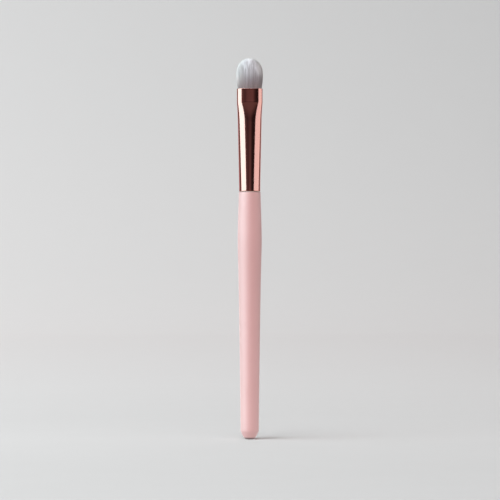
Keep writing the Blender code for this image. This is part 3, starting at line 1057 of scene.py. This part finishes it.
resin, tree = new_finish("amber_resin")
where = place(tree)
bubbles = tree.node("ShaderNodeTexVoronoi", sockets={"Vector": where, "Scale": BUBBLE_SCALE})
cloud = noise(tree, where, RESIN_CLOUD_SCALE, 2.0)
shader = tree.node("ShaderNodeBsdfPrincipled", sockets={
    "Base Color": blend(tree, cloud, RESIN_AMBER, RESIN_PALE),
    "Roughness": 0.22 + cloud * 0.15,
    "Coat Weight": 0.4,
    "Normal": bump(tree, clamped(bubbles * 6), 0.03 * MM),
})
close_finish(resin, tree, shader)

HIDDEN = {"binding_thread": cotton, "root_glue": resin, "tenon_glue": resin}
for name, material in HIDDEN.items():
    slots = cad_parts[name].material_slots
    for slot in slots:
        slot.material = material
    print(f"{name}: {len(slots)} slot now {material.name}")

# %% [markdown]
# ## The room
#
# The brush stands in a white studio. Floor and wall are one seamless sheet, here a round bowl, so
# that the brush has the same quiet background from every side.
#
# Lamps alone light such a sheet unevenly. So it also glows a little by itself: more with distance from
# the brush and less towards the camera, which evens it out, and less towards the right, which is
# painted shade, as if the light fell off from the lamps on the left. The glow is taken back where the
# big lamp already makes the floor bright, and right behind the foot as a painted shadow, where a real
# sheet is in the shade of the brush.

# %% Glow of the paper
GLOW_REACH = 1.8
GLOW_WHITE = (0.993, 0.999, 0.999)
GLOW = (
    (0.0, 0.074),
    (0.15, 0.098),
    (0.26, 0.138),
    (0.40, 0.188),
    (0.75, 0.287),
    (1.27, 0.423),
    (1.47, 0.394),
    (1.75, 0.372),
)
GLOW_FALL_RIGHT = 0.24
GLOW_FALL_NEAR = 0.42
FALL_WIDTH = 0.6
LAMP_SPOT = (-0.80, -0.20, 0.0)
LAMP_REACH = 0.62
LAMP_SHADE = 0.7
PAINTED_SHADOW_SPOT = (6 * MM, 5 * MM, 0.0)
PAINTED_SHADOW_REACH = 12 * MM
PAINTED_SHADOW_STRENGTH = 0.9
FLECK_SCALE = 40.0
PAPER_DARK = (0.418, 0.400, 0.395)
PAPER_LIGHT = (0.428, 0.410, 0.405)


def distance_to(tree, vector, spot):
    return tree.node("ShaderNodeVectorMath", {"operation": "DISTANCE"}, {0: vector, 1: spot})


paper, tree = new_finish("studio_paper")
where = place(tree)
flecks = noise(tree, where, FLECK_SCALE, 2.0)
reach = distance_to(tree, where, (0.0, 0.0, 0.0)) / GLOW_REACH
stops = [(distance / GLOW_REACH, (shade, shade, shade)) for distance, shade in GLOW]
level = tree.node("ShaderNodeValToRGB", {"stops": stops}, {"Fac": reach})
sideways = (clamped(part_of(tree, where, "X") / FALL_WIDTH + 0.5) - 0.5) * FALL_WIDTH
# painted shade: darker towards the right, away from the lamps on the left
level = level - GLOW_FALL_RIGHT * sideways
level = level - GLOW_FALL_NEAR * clamped(-part_of(tree, where, "Y"))
near_lamp = (1 - distance_to(tree, where, LAMP_SPOT) / LAMP_REACH) * 2
level = level * (1 - smooth_step(near_lamp) * LAMP_SHADE)
# a painted shadow of the brush, right behind the foot
near_painted_shadow = 1 - distance_to(tree, where, PAINTED_SHADOW_SPOT) / PAINTED_SHADOW_REACH
level = clamped(level * (1 - smooth_step(near_painted_shadow) * PAINTED_SHADOW_STRENGTH))
sheet = tree.node("ShaderNodeBsdfPrincipled", sockets={
    "Base Color": blend(tree, flecks, PAPER_DARK, PAPER_LIGHT),
    "Roughness": 0.9,
    "Specular IOR Level": 0.1,
    "Emission Color": blend(tree, level, (0.0, 0.0, 0.0), GLOW_WHITE),
    "Emission Strength": 1.0,
})
close_finish(paper, tree, sheet)

# %% [markdown]
# Polished metal shows what stands round it. The ferrule in the photograph mirrors a broad soft light
# on the left, a dimmer one on the right, and the dark room between them, behind the camera. So the
# bowl is hidden from reflections, and the lights are placed where the bands of the ferrule say.

# %% Bowl
BOWL_RADIUS = 1.75
BOWL_CURVE = 0.5
BOWL_HEIGHT = 1.6
BOWL_SIDES = 96

bowl_profile = [(BOWL_RADIUS, BOWL_HEIGHT)]
for turn in between(0.0, math.pi / 2, 24):
    radius = BOWL_RADIUS - BOWL_CURVE * (1 - math.cos(turn))
    bowl_profile.append((radius, BOWL_CURVE * (1 - math.sin(turn))))
bowl_profile.append((0.0, 0.0))
bowl = skin("studio_bowl", [turned_ring(radius, z, BOWL_SIDES) for radius, z in bowl_profile], paper)
bowl.visible_glossy = False
bowl.visible_diffuse = False


# %% [markdown]
# Every lamp is a rectangular soft box that faces the brush or the air above it. Its strength is given
# as radiance, the brightness of its own face, because that is what a mirror shows: a box can grow or
# move and its image in the metal stays as bright. One box can't give both the right light and the
# right image, so the key on the left is two: a wide one that only lights, and a narrower one that is
# only mirrored. The fill on the right is only mirrored, and the high box in front only lights.

# %% Lights
def softbox(name, bearing, distance, height, size, radiance, aim=0.1, colour=(1.0, 1.0, 1.0)):
    """A rectangular light; its bearing is in degrees from the camera's side round to the left."""
    light = bpy.data.lights.new(name, "AREA")
    light.color = colour
    light.shape = "RECTANGLE"
    light.size, light.size_y = size
    light.energy = radiance * math.pi * size[0] * size[1]
    lamp = bpy.data.objects.new(name, light)
    turn = math.radians(bearing)
    lamp.location = (-distance * math.sin(turn), -distance * math.cos(turn), height)
    to_brush = Vector((0.0, 0.0, aim)) - lamp.location
    lamp.rotation_euler = to_brush.to_track_quat("-Z", "Y").to_euler()
    lamp.visible_camera = False
    bpy.context.collection.objects.link(lamp)
    print(f"{name}: {light.energy:.1f} W")
    return lamp


WIDE = (1.93, 1.60)
TALL = (0.84, 0.86)
key_left = softbox("key_left", 76, 1.30, 0.78, WIDE, 1.82, aim=0.78, colour=(0.71, 1.0, 1.06))
key_mirror = softbox("key_mirror", 71, 0.70, 0.42, TALL, 1.95, aim=0.42, colour=(0.70, 1.0, 1.03))
softbox("key_high", 48, 0.42, 1.12, (0.62, 0.62), 10.4, colour=(0.92, 1.0, 1.02))
FILL = (0.95, 0.86)
fill_right = softbox("fill_right", -81, 0.70, 0.42, FILL, 0.93, aim=0.42, colour=(1.0, 0.99, 1.0))
front_high = softbox("front_high", -8, 1.30, 1.60, (2.2, 1.0), 3.3)
softbox("rear_high", 180, 0.9, 1.3, (1.4, 0.6), 2.0)
softbox("floor_bounce", 0, 0.0, 0.0002, (0.5, 0.5), 0.65)

key_left.visible_glossy = False
key_mirror.visible_diffuse = False
fill_right.visible_diffuse = False
front_high.visible_glossy = False
front_high.data.use_shadow = False

# %% [markdown]
# Between the lights the metal mirrors the dark room itself. It isn't equally dark all round: a paler
# strip lies straight behind the camera, and the far half of the room, behind the brush, is light. So
# the room is a list of shades by bearing, tried and changed until the ferrule showed the same bands
# as in the photograph. Above the horizon it darkens, and then a warm grey ceiling begins, which shows
# where the mouth of the ferrule leans back.

# %% Dark room
ROOM_SHADES = (
    (-178, 0.620),
    (-150, 0.460),
    (-118, 0.060),
    (-60, 0.030),
    (-38, 0.028),
    (-27, 0.018),
    (-17, 0.050),
    (-7, 0.140),
    (4, 0.125),
    (14, 0.065),
    (25, 0.095),
    (36, 0.160),
    (50, 0.100),
    (112, 0.060),
    (146, 0.460),
    (178, 0.620),
)
ROOM_TINT = (1.0, 0.58, 0.57)
CEILING = (0.15, 0.092, 0.086)
COVE_AT = (0.05, 0.06)
COVE_SHADE = 0.6
CEILING_AT = (0.12, 0.2)
CEILING_SHARE = 0.65

world = bpy.data.worlds.new("dark_room")
world.use_nodes = True
tree = Tree(world.node_tree)
direction = tree.node("ShaderNodeTexCoord").output("Generated")
leftward = -part_of(tree, direction, "X")
bearing = leftward.math("ARCTAN2", leftward, -part_of(tree, direction, "Y")) / (2 * math.pi) + 0.5
stops = []
for angle, shade in ROOM_SHADES:
    stops.append((angle / 360 + 0.5, tuple(shade * part for part in ROOM_TINT)))
room = tree.node("ShaderNodeValToRGB", {"stops": stops}, {"Fac": bearing})
up = part_of(tree, direction, "Z")
cove = eased(up, *COVE_AT) * COVE_SHADE
room = blend(tree, cove, room, (0.0, 0.0, 0.0))
ceiling = eased(up, *CEILING_AT) * CEILING_SHARE
room = blend(tree, ceiling, room, CEILING)
room = tree.node("ShaderNodeBackground", sockets={"Color": room})
tree.node("ShaderNodeOutputWorld", sockets={"Surface": room})
bpy.context.scene.world = world
bpy.context.scene.view_settings.view_transform = "Standard"
print("room:", len(ROOM_SHADES), "shades by bearing")

# %% [markdown]
# ## Hand over
#
# Every new piece rides on the only body and stands for its solid, which is hidden.

# %% Tie the pieces to the model
for piece, node, slot_name in (
    (handle, "handle", "handle_paint"),
    (ferrule, "ferrule", "ferrule_metal"),
    (root, "bristle_tuft", "filament"),
    (filaments, "bristle_tuft", "filament"),
):
    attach(piece, "root")
    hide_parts(node)
